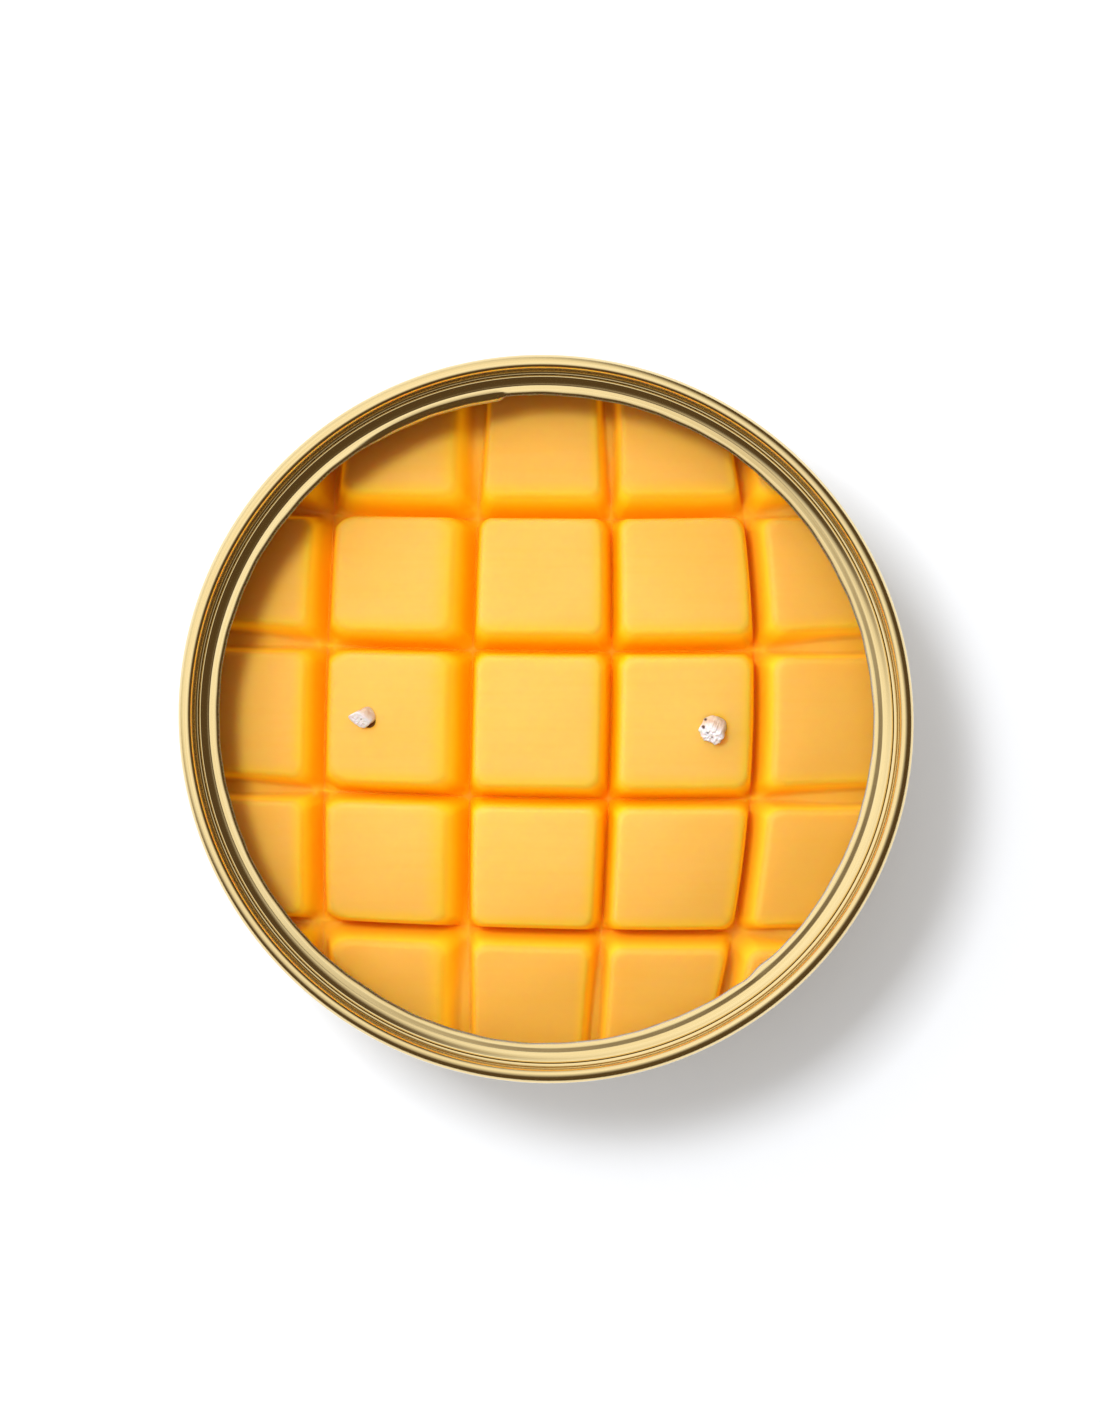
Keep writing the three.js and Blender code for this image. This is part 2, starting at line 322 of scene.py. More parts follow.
def goldTinplate(name, torn=False):
    gold = Finish(name, Metallic=1.0, Coat_Weight=0.5, Coat_Roughness=0.08, Coat_IOR=1.5)
    east, north = gold.aroundAxis()
    run = gold.layer("run")
    # rolling lines run round the tin: fine across the sheet, long along the way round
    lines = gold.noise(gold.vector(east * 2, north * 2, run * 9), 1.0, 2.0, 0.6)
    broad = gold.noise(gold.vector(east, north, run * 2.3), 1.0, 2.0)
    blotch = gold.noise(gold.place(), 60.0, 3.0)
    rolled = (lines * 0.5 + broad * 0.5).between(0.35, 0.65)
    colour = gold.mix(rolled * 0.5, goldLook["light"], goldLook["deep"])
    colour = gold.mix(blotch.between(0.4, 0.75) * 0.15, colour, goldLook["deep"])
    worn = lines * 0.4 + broad * 0.3 + blotch * 0.3
    rough = goldLook["bright"] + (goldLook["dull"] - goldLook["bright"]) * worn
    height = lines * 0.7 + broad * 0.3
    if torn:
        # bare steel shows along the torn edge, rough from the tear
        grain = gold.noise(gold.place(), 2600.0, 2.0)
        edge = goldLook["bareUpTo"]
        bare = 1 - (gold.layer("fromAxis") + (grain - 0.5) * 0.25).between(edge, edge + goldLook["bareWidth"])
        colour = gold.mix(bare, colour, goldLook["steel"])
        rough = rough + bare * goldLook["bareRougher"]
        height = height + bare * grain * 3
    gold.feed(Base_Color=colour, Roughness=rough)
    gold.feed(Normal=gold.bump(height, 0.000006, 0.15))
    return gold.material


# mango wax; down and glow go from a block's top to the groove floor as painted shade and painted glow,
# rim is the colour painted towards the wall as shade, well is painted lighter on the wide floors, through is
# painted light on the sides away from the light, and wickShadows gives the painted shadow and dark contact
# line
# at each wick: east, north and reach in metres, and strength
waxLook = dict(
    top=(0.98, 0.58, 0.125), shade=(0.96, 0.53, 0.085), rim=(0.70, 0.37, 0.035), well=(0.95, 0.50, 0.05),
    wallShadeFrom=0.020, wallShadeTo=0.050, wallShadeMiddle=(-0.003, 0.004),
    down=[(0.0, (1.0, 0.60, 0.04)), (0.35, (1.0, 0.58, 0.004)), (0.7, (1.0, 0.47, 0.0)),
          (1.0, (1.0, 0.23, 0.0))],
    glow=[(0.0, (0.0, 0.0, 0.0)), (0.13, (0.24, 0.09, 0.0)), (0.4, (0.06, 0.015, 0.0)),
          (1.0, (0.0, 0.0, 0.0))],
    through=(1.0, 0.575, 0.012), wickShadow=(1.0, 0.50, 0.01), dark=(0.10, 0.01, 0.0),
    wickShadows=dict(left=(-0.0249, -0.00035, 0.00092, 0.9), right=(0.0239, -0.0011, 0.00150, 0.3)),
)


def mangoWax():
    wax = Finish("wax", Roughness=0.45, IOR=1.44, Specular_IOR_Level=0.25, Emission_Strength=1.0,
                 Subsurface_Weight=0.85, Subsurface_Scale=0.005, Subsurface_Radius=(1.0, 0.55, 0.12))
    # depth is 0 on a block's top and 1 on the groove floor, and opened is 1 on the wide floors
    depth, opened = wax.layer("depth"), wax.layer("opened")
    x, y, z = wax.split(wax.place())
    # painted shade: the colour darkens towards the tin's wall, which shades the wax, round a middle set a
    # little towards the light
    middleX, middleY = waxLook["wallShadeMiddle"]
    fromMiddle = ((x - middleX) ** 2 + (y - middleY) ** 2) ** 0.5
    wallShade = fromMiddle.between(waxLook["wallShadeFrom"], waxLook["wallShadeTo"])
    cloud = wax.noise(wax.place(), 45.0, 3.0)
    # faint streaks across the tops, long in x
    streak = wax.noise(wax.vector(x * 60, y * 900, z * 60), 1.0, 3.0)
    shaded = cloud.between(0.3, 0.75) * 0.5 + streak.between(0.35, 0.8) * 0.35
    top = wax.mix(shaded, waxLook["top"], waxLook["shade"])
    # painted shade darkening the tops towards the wall
    top = wax.mix(wallShade * 0.6, top, waxLook["rim"])
    # painted light: a deeper, clearer orange on the sides away from the light, for light come through the
    # block
    top = wax.mix(wax.layer("through") * 0.75, top, waxLook["through"])
    # painted shade and painted light: the colour deepens and reddens down the block sides to the groove floor,
    # for the shade in the grooves and the redder light that comes through the wax
    down = wax.node("ValToRGB", {"stops": waxLook["down"]}, Fac=depth)
    colour = wax.mix(depth.between(0.01, 0.17) * (1 - wallShade * 0.3), top, down)
    # painted light: the wide floors are lighter than the narrow grooves, as more light reaches them, and
    # darker towards the wall as painted shade
    colour = wax.mix(opened, colour, wax.mix(wallShade * 0.6, waxLook["well"], waxLook["rim"]))
    # painted shadow: a deeper orange round the foot of each wick on the side away from the light, and a dark
    # painted contact shadow where they touch
    for side in ("left", "right"):
        east, north, reach, strength = waxLook["wickShadows"][side]
        away = ((x - east) ** 2 + (y - north) ** 2) ** 0.5
        inWickShadow = 0.7 - away.between(reach * 0.9, reach * 1.6) * 0.7
        inContactShadow = strength - away.between(reach * 0.95, reach * 1.05) * strength
        colour = wax.mix(inWickShadow, colour, waxLook["wickShadow"])
        colour = wax.mix(inContactShadow, colour, waxLook["dark"])
    wax.feed(Base_Color=colour)
    # painted glow: emitted light standing in for light that has come through the blocks and out at their
    # edges, redder further down
    glow = wax.node("ValToRGB", {"stops": waxLook["glow"]}, Fac=depth)
    wax.feed(Emission_Color=wax.mix(opened, glow, (0, 0, 0)))
    grain = wax.noise(wax.place(), 900.0, 2.0)
    soft = wax.noise(wax.place(), 160.0, 2.0)
    wax.feed(Normal=wax.bump(soft * 0.6 + streak * 0.25 + grain * 0.15, 0.00007, 0.35))
    return wax.material


def plainFinish(name, colour, shade, scale, **constants):
    made = Finish(name, **constants)
    speck = made.noise(made.place(), scale, 3.0)
    made.feed(Base_Color=made.mix(speck.between(0.3, 0.7), colour, shade))
    made.feed(Normal=made.bump(speck, 0.00005, 0.4))
    return made.material


wickLook = dict(body=(0.88, 0.70, 0.57), strand=(0.78, 0.55, 0.42), cut=(1.0, 0.96, 1.0),
                dark=(0.06, 0.01, 0.005))


def waxedCotton():
    cotton = Finish("waxed_cotton", Roughness=0.5, IOR=1.44, Subsurface_Weight=0.3, Subsurface_Scale=0.001,
                    Subsurface_Radius=(1.0, 0.7, 0.5))
    # cut is 1 on the cut face, marks on the specks, and above is the height over the wax in millimetres
    cut, marks, above = cotton.layer("cut"), cotton.layer("marks"), cotton.layer("above")
    strands = cotton.noise(cotton.place(), 1500.0, 3.0)
    fibres = cotton.noise(cotton.place(), 4200.0, 2.0)
    colour = cotton.mix(strands.between(0.35, 0.7), wickLook["body"], wickLook["strand"])
    colour = cotton.mix(cut * 0.85 + fibres.between(0.5, 0.7) * 0.15, colour, wickLook["cut"])
    # darker at the foot, just over the wax: wax-soaked cotton and painted shade where the wick meets the wax
    colour = cotton.mix((1 - above.between(0.1, 0.55)) * 0.9, colour, wickLook["dark"])
    colour = cotton.mix(marks, colour, wickLook["dark"])
    cotton.feed(Base_Color=colour)
    cotton.feed(Normal=cotton.bump(strands * 0.6 + fibres * 0.4, 0.0002, 0.5))
    return cotton.material


goldFinish = goldTinplate("gold_tinplate")
tornFinish = goldTinplate("gold_tinplate_torn", torn=True)
waxFinish = mangoWax()
tabFinish = plainFinish("plain_tinplate", (0.66, 0.66, 0.67), (0.52, 0.52, 0.54), 800, Metallic=1.0,
                        Roughness=0.3)
compoundFinish = plainFinish("seam_compound", (0.30, 0.28, 0.26), (0.22, 0.21, 0.19), 2000, Roughness=0.8)
padFinish = plainFinish("foam_pad", (0.88, 0.87, 0.83), (0.78, 0.77, 0.73), 3000, Roughness=0.85)
paperFinish = plainFinish("label_paper", (0.90, 0.88, 0.82), (0.84, 0.82, 0.76), 1500, Roughness=0.75)
wickFinish = waxedCotton()
print("materials made")

# tin, in millimetres; depths from a seam's crest

rimHeight = cadHigh.z / mm
sheet = 0.3
pitch = 0.4  # from one layer of the seam to the next
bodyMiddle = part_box("can_body")[1].x / mm - 2 * pitch - sheet / 2
seam = dict(depth=3.0, outerBend=1.1, innerBend=0.5, bodyHook=2.35, bodyTop=0.85, endHook=1.5)
chuckMiddle = bodyMiddle - pitch
hookMiddle = bodyMiddle + pitch
wallMiddle = bodyMiddle + 3 * pitch

endSeam = [
    (chuckMiddle, sheet / 2, seam["innerBend"]),
    (wallMiddle, sheet / 2, seam["outerBend"]),
    (wallMiddle, seam["depth"] - sheet / 2, pitch),
    (hookMiddle, seam["depth"] - sheet / 2, pitch),
    (hookMiddle, seam["endHook"]),
]
bodySeam = [
    (bodyMiddle + 2 * pitch, seam["bodyHook"]),
    (bodyMiddle + 2 * pitch, seam["bodyTop"], pitch),
    (bodyMiddle, seam["bodyTop"], pitch),
]


def atRim(corners):
    return [(c[0], rimHeight - c[1], *c[2:]) for c in corners]


# what is left of the easy-open end: (radius, depth, bend) from the torn edge out to the foot of the seam
ring = dict(
    edge=(45.52, 4.00), lip=(46.18, 3.89, 0.75), trough=(46.84, 4.02, 0.22), slope=(47.35, 3.95, 2.3),
    ridge=(48.10, 3.42, 0.06), groove=(48.30, 3.60, 0.05), foot=(49.02, 3.52, 0.62),
)
# wander is (reach, waves round the edge, phase); places round the ring are in degrees
tear = dict(
    inside=(46.5, 45.75), wander=((0.05, 7, 1), (0.04, 19, 2), (0.025, 53, 0)),
    starts=(96.5, 98), ends=(112, 127), pulledIn=0.45, bentDown=0.7,
    kinkAt=309, kinkWidth=1.6, kinkReach=0.14,
)


def tornEdge(radius, height, angle):
    # The raw edge wanders as a sum of sines and is pulled in and bent down where the tear began. A kink
    # swings it out and back in: the distance from the kink times a bell curve of that distance.
    inward = smoothStep(*tear["inside"], radius)
    degrees = np.degrees(angle) % 360
    wander = sum(reach * np.sin(waves * angle + phase) for reach, waves, phase in tear["wander"])
    start = smoothStep(*tear["starts"], degrees) * (1 - smoothStep(*tear["ends"], degrees))
    kink = (degrees - tear["kinkAt"]) / tear["kinkWidth"]
    kinked = -tear["kinkReach"] * kink * np.exp(0.5 - kink * kink / 2)
    radius = radius + inward * (wander + kinked - tear["pulledIn"] * start)
    height = height - inward * tear["bentDown"] * start
    return radius, height


ringPath = bentPath(atRim([*ring.values(), *endSeam]))
turnedPiece("opened_ring", sheetOutline(ringPath, sheet), 600, "top_ring", tornFinish,
            change=tornEdge)

bodyPath = bentPath([*atRim(bodySeam), *bodySeam[::-1]])
turnedPiece("tin_body", sheetOutline(bodyPath, sheet), 720, "can_body", goldFinish)

panel = dict(height=2.7, bead=(36, 41), rise=0.6, slope=1.0, wall=46.8, ridge=47.9, ridgeHeight=4.6, bend=0.6)
beadTop = panel["height"] + panel["rise"]
bottomPath = bentPath([
    (0, panel["height"]),
    (panel["bead"][0] - panel["slope"], panel["height"], 0.8),
    (panel["bead"][0], beadTop, 0.8),
    (panel["bead"][1], beadTop, 0.8),
    (panel["bead"][1] + panel["slope"], panel["height"], 0.8),
    (panel["wall"], panel["height"], 0.4),
    (panel["ridge"] - panel["bend"], panel["ridgeHeight"], 0.5),
    (panel["ridge"] + panel["bend"], panel["ridgeHeight"], 0.5),
    *endSeam,
])
turnedPiece("plain_end", sheetOutline(bottomPath, sheet), 480, "bottom_end", goldFinish)

compound = dict(half=0.17, near=0.88, far=1.42)
inner, outer = hookMiddle - compound["half"], hookMiddle + compound["half"]
compoundSection = np.array([(inner, compound["far"]), (outer, compound["far"]), (outer, compound["near"]),
                            (inner, compound["near"])])
turnedPiece("seam_compound_low", compoundSection[::-1], 360, "bottom_seam_compound",
            compoundFinish)
turnedPiece("seam_compound_high", compoundSection * (1, -1) + (0, rimHeight), 360, "top_seam_compound",
            compoundFinish)
print("tin made")

# wax, in millimetres

# drafts are how far a block's sides lean out, row by row and column by column; skirt is (radius, height);
# ripple is (reach, waves in x, waves in y, phase)
waxGrid = dict(
    apex=(8.7, -8.5), apexHeight=35.4, domeRadius=150, grooveDepth=7.0,
    columns=(-50.6, -30.9, -10.4, 9.1, 29.2, 50.4), rows=(-47.9, -29.7, -11.2, 9.5, 28.2, 47.4),
    columnTilt=0.0285, columnBow=(-1.0e-4, -5.4e-5, -1.0e-6), rowTilt=(-0.008, 2.7e-4), rowBow=4.5e-4,
    columnDraft=(1.0, 1.8, 1.1, 1.1, 1.4), rowDraft=(1.25, 1.0, 1.2, 1.2, 1.2), corner=1.5, soft=0.7,
    hollow=0.3, crown=0.55, uneven=0.012, behind=(3.4, 1.0), perHalf=25, crowding=3.0,
    fading=dict(start=22, end=43, alongRows=0.68, alongColumns=0.55, blend=0.48, widerRows=0.42,
                widerColumns=0.336, over=(-0.32, 0.3), raised=(0.05, 0.5)),
    wall=49.35, skirt=((49.35, 8.0), (49.35, 5.0), (46.4, 5.0), (45.6, 3.0), (20.0, 3.0)),
    ripple=((0.05, 0.35, 0.2, 0), (0.04, -0.27, 0.5, 1)),
)


def crowded(cuts):
    # places along a direction, crowded near each cut: sinh of an even step, mirrored about each block's middle
    step = np.linspace(0, 1, waxGrid["perHalf"] + 1)
    rise = np.sinh(waxGrid["crowding"] * step) / math.sinh(waxGrid["crowding"]) / 2
    share = np.concatenate([rise, 1 - rise[::-1][1:]])[:-1]
    cuts = np.asarray(cuts, float)
    places = cuts[:-1, None] + np.diff(cuts)[:, None] * share[None, :]
    return np.append(places.ravel(), cuts[-1])


def blockShape(x, y):
    # How far the outline of a block, a rectangle with round corners, is drawn in to pass through a point,
    # as a share of that block's draft. The height rises straight with it and then bends into the top by a
    # smooth minimum; the top is crowned like a cushion. Below 0 the point lies in the well between corners.
    # Three layers are returned with the height: depth is 1 on the groove floor, opened is 1 where the
    # floor is wide, and through grows to 1 near the sides that face away from the light, where painted light
    # stands in for the light that has passed through the block and comes out.
    columns, rows = np.asarray(waxGrid["columns"]), np.asarray(waxGrid["rows"])
    column = np.clip(np.searchsorted(columns, x, "right") - 1, 0, len(columns) - 2)
    row = np.clip(np.searchsorted(rows, y, "right") - 1, 0, len(rows) - 2)
    halfX = (columns[column + 1] - columns[column]) / 2
    halfY = (rows[row + 1] - rows[row]) / 2
    fromX = x - (columns[column + 1] + columns[column]) / 2
    fromY = y - (rows[row + 1] + rows[row]) / 2
    draftX = np.asarray(waxGrid["columnDraft"])[column]
    draftY = np.asarray(waxGrid["rowDraft"])[row]
    corner = waxGrid["corner"]
    # shares of the draft across each pair of sides, and round the corner between them
    fading = waxGrid["fading"]
    nearSides, nearEnds = (smoothStep(fading["start"], fading["end"], np.abs(v)) for v in (x, y))
    nearWall = np.maximum(nearSides, nearEnds)
    a = (np.abs(fromX) - halfX) / draftX + corner + fading["widerColumns"] * nearEnds
    b = (np.abs(fromY) - halfY) / draftY + corner + fading["widerRows"] * nearSides
    bend = np.sqrt(np.maximum(2 * corner ** 2 - (a - b) ** 2, 0))
    share = np.where(np.abs(a - b) < corner, (bend - a - b) / 2, corner - np.maximum(a, b))
    soft, hollow = waxGrid["soft"], waxGrid["hollow"]
    near = np.clip(1 - np.abs(share - 1) / soft, 0, 1)
    low = np.clip(1 - np.abs(share) / hollow, 0, 1)
    rise = np.clip(share, 0, 1) - soft / 4 * near ** 2 + hollow / 4 * low ** 2
    crown = waxGrid["crown"] * (1 - (fromX / halfX) ** 2) * (1 - (fromY / halfY) ** 2)
    tiltX, tiltY = np.sin(3.1 * column + 1.7 * row), np.cos(2.3 * column - 1.1 * row)
    tilt = waxGrid["uneven"] * (tiltX * fromX + tiltY * fromY)
    # the grooves grow shallow towards the wall: a floor that rises outwards, joined by a smooth maximum
    inRow = smoothStep(-1, 1, b - a)
    floor = inRow * fading["alongRows"] * nearSides + (1 - inRow) * fading["alongColumns"] * nearEnds
    apart = np.clip(1 - np.abs(rise - floor) / fading["blend"], 0, 1)
    level = np.maximum(rise, floor) + fading["blend"] / 4 * apart ** 2
    opened = smoothStep(*fading["over"], floor - rise) * smoothStep(*fading["raised"], level)
    well = smoothStep(0.02, 0.4, -share) * (0.2 + 0.8 * nearWall)
    # how near a point is to the sides of its block that face away from the light, right and front
    behind = np.minimum((halfX - fromX) / draftX, (halfY + fromY) / draftY)
    layers = dict(depth=1 - level, opened=np.maximum(well, opened),
                  through=smoothStep(*waxGrid["behind"], behind))
    return level * waxGrid["grooveDepth"] + rise * (crown + tilt), layers


def onDome(x, y, height):
    # Each cut runs a little askew and bows with the square of the distance along it, by amounts that
    # change smoothly from cut to cut. The floor sinks with the square of the distance from the apex, and
    # a block leans outwards as if square to the dome.
    level, slope, curve = waxGrid["columnBow"]
    bowedX = x + waxGrid["columnTilt"] * y + (level + slope * x + curve * x * x) * y * y
    bowedY = y + (waxGrid["rowTilt"][0] + waxGrid["rowTilt"][1] * y) * x + waxGrid["rowBow"] * x * x
    awayX, awayY = bowedX - waxGrid["apex"][0], bowedY - waxGrid["apex"][1]
    sag = (awayX ** 2 + awayY ** 2) / (2 * waxGrid["domeRadius"])
    lean = height / waxGrid["domeRadius"]
    z = waxGrid["apexHeight"] - waxGrid["grooveDepth"] - sag + height
    return np.stack([bowedX + awayX * lean, bowedY + awayY * lean, z], -1)


def waxPiece():
    x, y = np.meshgrid(crowded(waxGrid["columns"]), crowded(waxGrid["rows"]), indexing="ij")
    height, layers = blockShape(x, y)
    points = onDome(x, y, height).reshape(-1, 3)
    radius = np.hypot(points[:, 0], points[:, 1])
    faces = gridFaces(*x.shape, closeColumns=False)
    inside = radius < waxGrid["wall"]
    kept = faces[inside[faces].sum(1) >= 3]
    # corners on the rim of what is kept go onto the wall's circle
    edges = np.sort(np.concatenate([kept[:, [k, (k + 1) % 4]] for k in range(4)]), 1)
    unique, times = np.unique(edges, axis=0, return_counts=True)
    rim = np.unique(unique[times == 1])
    points[rim, :2] *= (waxGrid["wall"] / radius[rim])[:, None]
    order = rim[np.argsort(np.arctan2(points[rim, 1], points[rim, 0]))]
    used = np.unique(kept)
    renumber = np.full(len(points), -1)
    renumber[used] = np.arange(len(used))
    kept, order = renumber[kept], renumber[order]
    top = points[used]
    # the skirt goes down the wall and in along the floor as rings of the same points
    count = len(order)
    angle = np.arctan2(top[order, 1], top[order, 0])
    skirt = waxGrid["skirt"]
    rings = np.concatenate([np.stack([r * np.cos(angle), r * np.sin(angle), np.full(count, z)], -1)
                            for r, z in skirt])
    start = len(top)
    skirtNumbers = start + np.arange(len(skirt) * count).reshape(len(skirt), count)
    ringNumbers = np.concatenate([order[None], skirtNumbers])
    a, b = ringNumbers[:-1], ringNumbers[1:]
    side = np.stack([a, b, np.roll(b, -1, 1), np.roll(a, -1, 1)], -1).reshape(-1, 4)
    centre = start + len(rings)
    last = ringNumbers[-1]
    fan = np.stack([np.roll(last, -1), last, np.full(count, centre)], -1)
    below = np.full(len(rings) + 1, 0.5)
    layers = {name: np.concatenate([layer.ravel()[used], below]) for name, layer in layers.items()}
    # a gentle unevenness of the cast surface, a sum of sines
    top[:, 2] += sum(reach * np.sin(wavesX * top[:, 0] + wavesY * top[:, 1] + phase)
                     for reach, wavesX, wavesY, phase in waxGrid["ripple"])
    allPoints = np.vstack([top, rings, [[0, 0, skirt[-1][1]]]])
    addPiece("mango_wax", squeezed(allPoints) * mm, [kept, side, fan], "wax_fill", waxFinish, layers)


waxPiece()
print("wax made")

# wicks, tabs, pads, label

# lean is how far the top has bent over, cut the direction that the cut face looks, across and along the
# half widths, square how squarish the section is (2 is round), stub the height out of the wax, and spots
# are dark or faint marks: east, north, size and strength
wicks = dict(
    left=dict(x=-24.75, y=0.45, lean=(-1.9, -1.15), cut=(-0.36, -0.58, 0.73), across=1.22, along=1.0,
              square=3.4, stub=2.8, frayed=0.04, flare=0.15, turn=0.4, spots=((-25.85, -0.2, 0.15, 0.6),)),
    right=dict(x=23.6, y=-0.6, lean=(-0.95, -2.3), cut=(-0.30, -0.62, 0.72), across=1.72, along=1.25,
               square=2.2, stub=2.8, frayed=0.17, flare=0.0, turn=2.1,
               spots=((21.9, -1.0, 0.33, 1.0), (22.25, 0.05, 0.26, 1.0), (22.5, -1.85, 0.2, 0.7),
                      (23.1, -2.4, 0.2, 0.7))),
    foot=3.75, around=160, capRings=12, bend=1.6, braid=2.4, cutFrom=0.8, capBulge=0.12,
)


def unit(vectors):
    return vectors / np.linalg.norm(vectors, axis=-1, keepdims=True)


def wickPiece(side):
    # A cord with a squarish section (a superellipse), straight up through the wax and then bent over as a
    # power of the height above it. Each line along it runs to its own height, where it meets the slanting
    # plane of the cut.
    place = wicks[side]
    stub = place["stub"]
    base = onDome(np.array(place["x"]), np.array(place["y"]), np.array(waxGrid["grooveDepth"]))[2]
    around = np.arange(wicks["around"]) * 2 * np.pi / wicks["around"]
    power = place["square"]
    section = ((np.abs(np.cos(around)) / place["across"]) ** power
               + (np.abs(np.sin(around)) / place["along"]) ** power) ** (-1 / power)
    across = unit(np.array([place["lean"][1], -place["lean"][0], 0.0]))

    def cord(rise):
        over = np.clip(rise / stub, 0, None) ** wicks["bend"]
        tilt = wicks["bend"] / stub * np.clip(rise / stub, 0, None) ** (wicks["bend"] - 1)
        leanX, leanY = place["lean"]
        centre = np.stack([place["x"] + leanX * over, place["y"] + leanY * over, base + rise], -1)
        along = unit(np.stack([leanX * tilt, leanY * tilt, np.ones_like(rise)], -1))
        out = across * np.cos(around)[:, None] + np.cross(along, across) * np.sin(around)[:, None]
        # strands of a braid winding both ways round, and frayed ends that grow towards the cut
        wind = rise * wicks["braid"]
        braid = np.abs(np.sin(2 * around + wind)) * np.abs(np.sin(2 * around - wind))
        loose = (np.sin(5 * around + place["turn"]) + 0.7 * np.sin(11 * around - 2 * rise)
                 + 0.4 * np.sin(23 * around))
        up = np.clip(rise / stub, 0, 1)
        swell = 0.95 + 0.07 * braid + place["frayed"] * up * loose * 0.5 + place["flare"] * up ** 3
        return centre, along, out * (section * swell)[..., None]

    cut = unit(np.array(place["cut"]))
    cutHeight = stub * wicks["cutFrom"]
    _, along, out = cord(np.full(wicks["around"], cutHeight))
    end = cutHeight - (out @ cut) / (along @ cut)
    share = np.concatenate([np.linspace(0, 0.8, 10), np.linspace(0.82, 1, 40)])[:, None]
    rise = (wicks["foot"] - base) * (1 - share) + end * share
    centre, _, out = cord(rise)
    rings = centre + out
    # the cut face: rings drawn in to its middle, uneven with the ends of the fibres
    middle = rings[-1].mean(0)
    shares = 1 - np.arange(1, wicks["capRings"] + 1)[:, None] / (wicks["capRings"] + 0.5)
    fibres = (np.sin(5 * around + 9 * shares) * np.sin(3 * around - 7 * shares + place["turn"])
              * np.sin(np.pi * shares))
    bulge = (0.06 + place["frayed"]) * fibres + wicks["capBulge"] * np.sqrt(1 - shares ** 2)
    cap = middle + (rings[-1] - middle) * shares[..., None] + cut * bulge[..., None]
    rows = len(rings) + len(cap)
    points = np.concatenate([rings, cap]).reshape(-1, 3)
    points = np.vstack([points, rings[0].mean(0), middle + cut * wicks["capBulge"]])
    onCut = np.concatenate([smoothStep(0.975, 1, share[:, 0]), np.ones(len(cap))])
    onCut = np.append(np.repeat(onCut, wicks["around"]), [0, 1])
    above = points[:, 2] - base
    marks = np.zeros(len(points))
    for east, north, size, strength in place["spots"]:
        away = np.hypot(points[:, 0] - east, points[:, 1] - north)
        marks = np.maximum(marks, strength * smoothStep(size, size * 0.5, away) * (above > 0.3))
    j = np.arange(wicks["around"])
    following = (j + 1) % wicks["around"]
    low, high = len(points) - 2, len(points) - 1
    last = (rows - 1) * wicks["around"]
    faces = [gridFaces(rows, wicks["around"]), np.stack([following, j, np.full_like(j, low)], -1),
             np.stack([last + j, last + following, np.full_like(j, high)], -1)]
    addPiece(f"wick_stub_{side}", squeezed(points) * mm, faces, f"wick_{side}", wickFinish,
             {"cut": onCut, "marks": marks, "above": above})


def disc(radius, low, high):
    # the outline of a flat disc, from the axis out along its underside and back along its top
    return [(0, low), (radius, low), (radius, high), (0, high)]


tab = dict(bottom=3.75, radius=7.4, neck=1.6, bend=0.3, neckHeight=4.2)
pad = dict(bottom=2.95, radius=7.3, thickness=0.7)
for side in ("left", "right"):
    wickPiece(side)
    middle = (wicks[side]["x"], wicks[side]["y"])
    tabMiddle = tab["bottom"] + sheet / 2
    tabPath = bentPath([(tab["radius"], tabMiddle), (tab["neck"], tabMiddle, tab["bend"]),
                        (tab["neck"], tab["bottom"] + tab["neckHeight"])])
    turnedPiece(f"tab_{side}", sheetOutline(tabPath, sheet), 96, f"wick_tab_{side}",
                tabFinish, middle)
    turnedPiece(f"pad_{side}", disc(pad["radius"], pad["bottom"], pad["bottom"] + pad["thickness"]), 96,
                f"wick_sticker_{side}", padFinish, middle)
labelLow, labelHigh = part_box("base_label")
turnedPiece("blank_label", disc(labelHigh.x / mm, labelLow.z / mm, labelHigh.z / mm), 240, "base_label",
            paperFinish)
print("wicks and base made")

# floor, lights, camera

# viewHeight is what the frame's long side takes in at the rim, in millimetres, as aim is; angles in degrees,
# the key's distance and size and the floor in metres; edge is where a wall or patch of light fades in
studio = dict(
    lens=136.5, sensor=36.0, viewHeight=197.8, aim=(0.56, 1.11), clip=(0.01, 50),
    keyAzimuth=138, keyElevation=70, keyDistance=1.3, keySize=0.26, keyPower=10.5, keyAim=0.03,
    roomColour=(0.10, 0.068, 0.036),
    wall=dict(elevation=20, edge=(0.35, 0.85), light=0.95),
    patch=dict(elevation=62, edge=(0.52, 0.95), light=1.15),
    floorHalf=6, floorGlow=0.24, floorShade=(0.77, 0.80, 0.85),
)


def stageFloor():
    mesh = bpy.data.meshes.new("floor")
    half = studio["floorHalf"]
    corners = [(-half, -half, 0), (half, -half, 0), (half, half, 0), (-half, half, 0)]
    mesh.from_pydata(corners, [], [(0, 1, 2, 3)])
    floor = bpy.data.objects.new("floor", mesh)
    bpy.context.scene.collection.objects.link(floor)
    finish = Finish("floor", Roughness=1.0, Specular_IOR_Level=0.0, Base_Color=(*studio["floorShade"], 1),
                    Emission_Color=(1, 1, 1, 1), Emission_Strength=studio["floorGlow"])
    mesh.materials.append(finish.material)


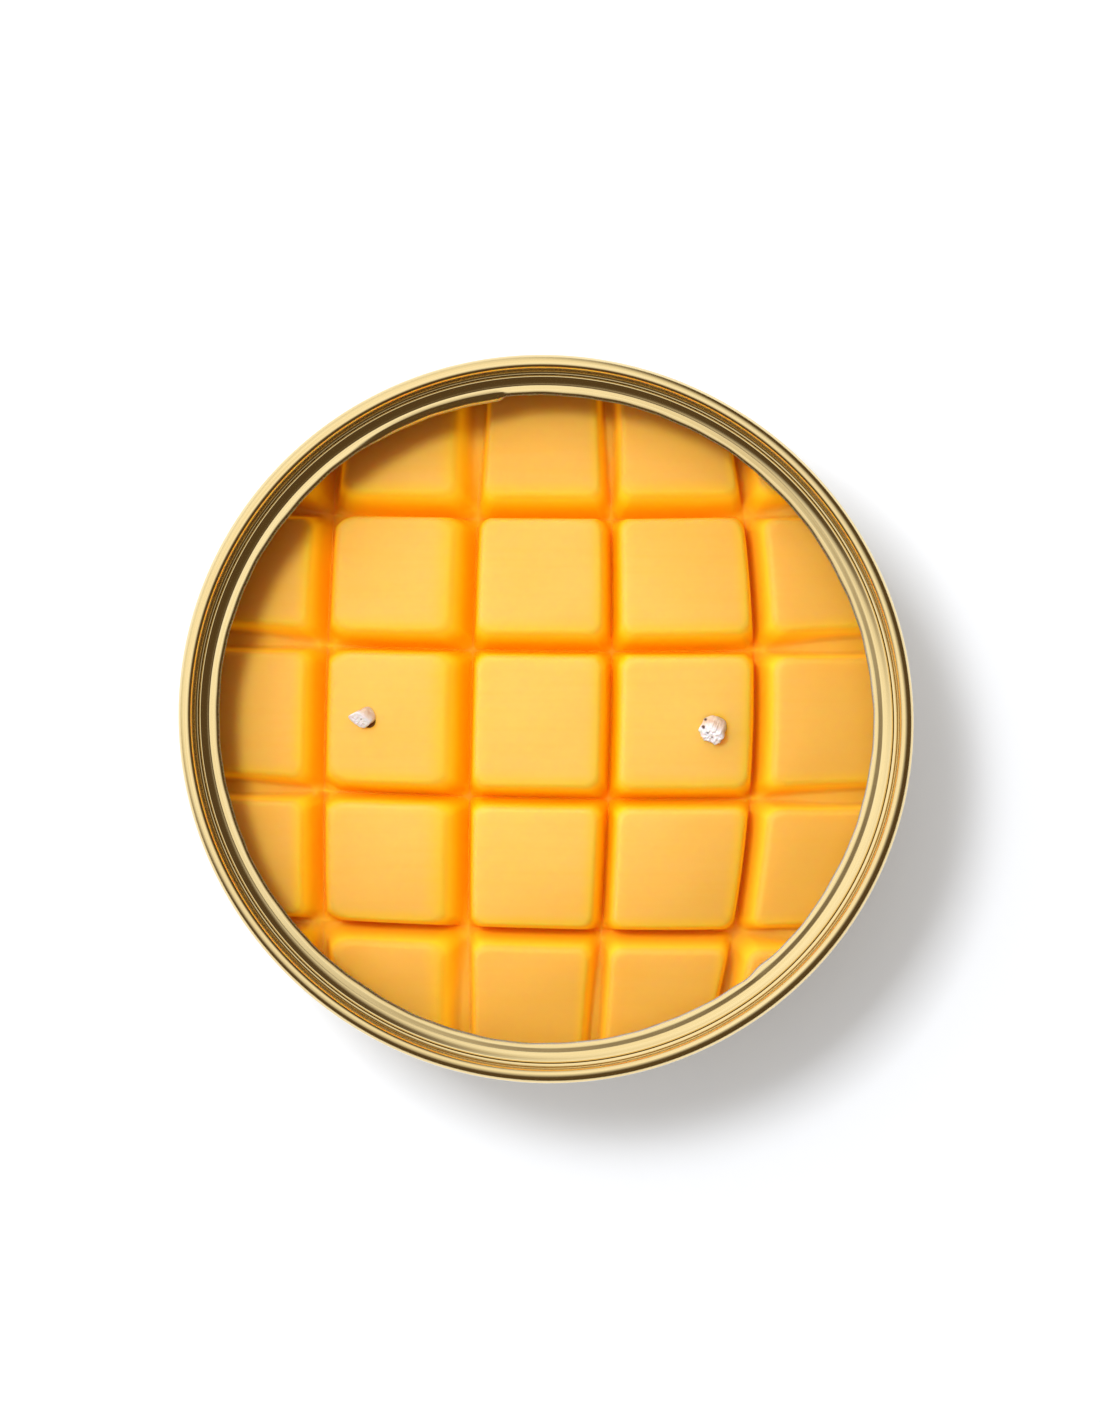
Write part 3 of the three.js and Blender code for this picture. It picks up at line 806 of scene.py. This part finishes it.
def towards(elevation):
    # the direction of a point on the key's side, that many degrees up
    a, e = math.radians(studio["keyAzimuth"]), math.radians(elevation)
    return Vector((math.cos(a) * math.cos(e), math.sin(a) * math.cos(e), math.sin(e)))


def keyLight():
    direction = towards(studio["keyElevation"])
    data = bpy.data.lights.new("key", "AREA")
    data.size = studio["keySize"]
    data.energy = studio["keyPower"]
    lamp = bpy.data.objects.new("key", data)
    lamp.visible_glossy = False
    lamp.location = Vector((0, 0, studio["keyAim"])) + direction * studio["keyDistance"]
    lamp.rotation_euler = direction.to_track_quat("Z", "Y").to_euler()
    bpy.context.scene.collection.objects.link(lamp)


def studioWorld():
    # a white wall on the key's side, a brighter soft patch above it near the key, and a dim warm room
    world = bpy.data.worlds.new("studio")
    world.use_nodes = True
    tree = world.node_tree
    direction = tree.nodes.new("ShaderNodeTexCoord").outputs["Generated"]
    before = None
    for part in (studio["wall"], studio["patch"]):
        dot = tree.nodes.new("ShaderNodeVectorMath")
        dot.operation = "DOT_PRODUCT"
        tree.links.new(direction, dot.inputs[0])
        dot.inputs[1].default_value = towards(part["elevation"])
        blend = tree.nodes.new("ShaderNodeMix")
        blend.data_type = "RGBA"
        tree.links.new(Wire(tree, dot.outputs["Value"]).between(*part["edge"]).socket, blend.inputs[0])
        if before:
            tree.links.new(before, blend.inputs[6])
        else:
            blend.inputs[6].default_value = (*studio["roomColour"], 1)
        blend.inputs[7].default_value = (*[part["light"]] * 3, 1)
        before = blend.outputs[2]
    tree.links.new(before, tree.nodes["Background"].inputs["Color"])
    bpy.context.scene.world = world


def overheadCamera():
    data = bpy.data.cameras.new("camera")
    data.lens = studio["lens"]
    data.sensor_width = studio["sensor"]
    data.clip_start, data.clip_end = studio["clip"]
    camera = bpy.data.objects.new("camera", data)
    distance = studio["viewHeight"] * studio["lens"] / studio["sensor"]
    camera.location = (studio["aim"][0] * mm, studio["aim"][1] * mm, (rimHeight + distance) * mm)
    bpy.context.scene.collection.objects.link(camera)
    bpy.context.scene.camera = camera


stageFloor()
keyLight()
studioWorld()
overheadCamera()
bpy.context.scene.view_settings.view_transform = "Standard"
print("studio made")
